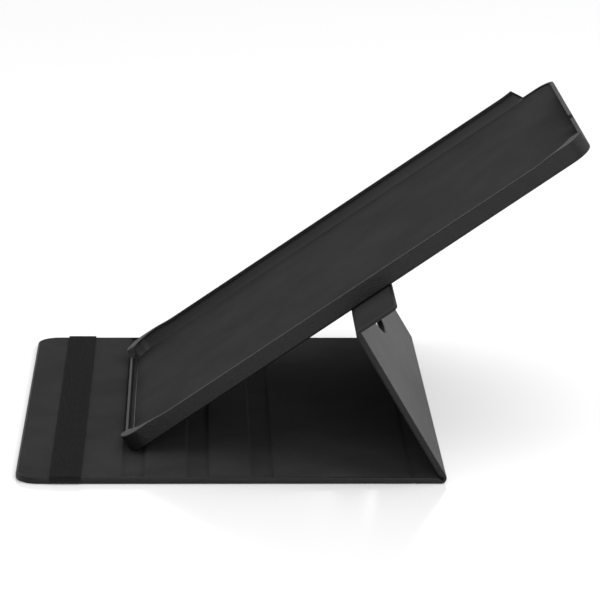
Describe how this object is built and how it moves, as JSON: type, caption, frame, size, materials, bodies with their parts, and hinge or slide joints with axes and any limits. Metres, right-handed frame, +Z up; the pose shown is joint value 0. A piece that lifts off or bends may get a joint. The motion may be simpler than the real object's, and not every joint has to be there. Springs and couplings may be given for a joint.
{
  "type": "tablet case",
  "caption": "Rotating folio tablet case in its portrait stand position: flat cover with grooves, prop panel, hub flap and moulded tray.",
  "frame": {"origin": "middle of the bounding box in X and Y, on the table the front cover lies on", "axes": "+Z up from the table; +X from the front cover's free edge towards the spine, square to the folds; +Y along the folds, away from a viewer who sees the stand in profile with the spine on the right"},
  "size_m": [0.3076, 0.301, 0.1803],
  "materials": {
    "cover_leather": "fine-grained black synthetic leather",
    "suede_lining": "brushed microfibre",
    "stiffener_board": "plain stiffener sheet, hidden",
    "woven_elastic": "ribbed woven elastic",
    "tray_leather": "fine-grained black synthetic leather wrapped on the tray",
    "tray_plastic": "satin moulded plastic",
    "hub_plastic": "moulded plastic",
    "screw_steel": "plain steel"
  },
  "bodies": {
    "front_cover": {"front_skin": "cover_leather", "front_board_1": "stiffener_board", "front_board_2": "stiffener_board", "front_board_3": "stiffener_board", "front_board_4": "stiffener_board", "front_lining": "suede_lining", "elastic_band": "woven_elastic"},
    "spine": {"spine_skin": "cover_leather", "spine_board": "stiffener_board", "spine_lining": "suede_lining"},
    "prop_panel": {"prop_skin": "cover_leather", "prop_board": "stiffener_board", "prop_lining": "suede_lining"},
    "hub_flap": {"flap_skin": "cover_leather", "flap_board": "stiffener_board", "flap_lining": "suede_lining", "hub_socket": "hub_plastic"},
    "tray": {"tray_skin": "tray_leather", "tray_shell": "tray_plastic", "tray_liner": "suede_lining", "hub_boss": "hub_plastic", "hub_retainer": "hub_plastic", "hub_screw_1": "screw_steel", "hub_screw_2": "screw_steel", "hub_screw_3": "screw_steel", "hub_screw_4": "screw_steel"}
  },
  "joints": [
    {"name": "cover_fold", "type": "hinge", "parent": "front_cover", "child": "spine", "pos_m": [0.0582, 0, 0.0009], "axis": [0, 1, 0], "range_deg": [0, 90]},
    {"name": "prop_fold", "type": "hinge", "parent": "spine", "child": "prop_panel", "pos_m": [0.0764, 0, 0.0009], "axis": [0, 1, 0], "range_deg": [0, 120.5]},
    {"name": "flap_fold", "type": "hinge", "parent": "prop_panel", "child": "hub_flap", "pos_m": [0.0289, 0, 0.08155], "axis": [0, 1, 0], "range_deg": [-86.05, 0]},
    {"name": "hub_turn", "type": "hinge", "parent": "hub_flap", "child": "tray", "pos_m": [0.03252, 0, 0.08404], "axis": [-0.5664, 0, 0.8241], "range_deg": [0, 90.05]}
  ],
  "couplings": [
    {"joint": "flap_fold", "follows": "prop_fold", "ratio": -0.71369},
    {"joint": "hub_turn", "follows": "prop_fold", "ratio": 0.74689}
  ]
}
